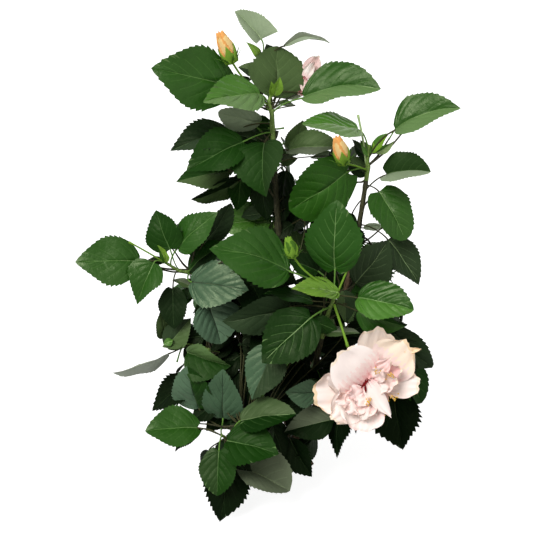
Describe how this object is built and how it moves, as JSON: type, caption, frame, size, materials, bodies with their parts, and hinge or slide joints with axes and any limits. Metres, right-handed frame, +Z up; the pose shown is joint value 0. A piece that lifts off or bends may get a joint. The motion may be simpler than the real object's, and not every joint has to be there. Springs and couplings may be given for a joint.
{
  "type": "hibiscus shrub",
  "caption": "Young leafy hibiscus shrub with glossy toothed leaves on slender upright shoots, a large pale pink double bloom low on the right and a few buds.",
  "frame": {"origin": "middle of the flat cut under the trunk, at ground level", "axes": "+Z up, -Y towards the plant's front, +X to the right as seen from the front"},
  "size_m": [0.44, 0.3478, 0.5601],
  "materials": {
    "bark": "rough grey-brown bark with small pale pores",
    "young_bark": "smooth dark brown bark, green towards the tips",
    "leaves": "glossy dark green leaves, paler and matt beneath"
  },
  "bodies": {
    "root": {"trunk": "bark", "leader_stem": "young_bark", "right_stem": "young_bark", "centre_stem": "young_bark", "left_stem": "young_bark", "back_stem": "young_bark", "front_low_stem": "young_bark", "left_low_stem": "young_bark", "right_low_stem": "young_bark", "front_right_stem": "young_bark", "back_left_stem": "young_bark", "back_right_stem": "young_bark", "back_low_stem": "young_bark", "crown_top": "leaves", "crown_collar": "leaves", "crown_neck": "leaves", "right_crown": "leaves", "right_middle": "leaves", "centre_rosette": "leaves", "left_rosette": "leaves", "left_low": "leaves", "heart": "leaves", "front_low": "leaves", "right_low": "leaves", "front_right_low": "leaves", "back_top": "leaves", "back_left": "leaves", "back_right": "leaves", "back_low": "leaves"}
  },
  "joints": []
}
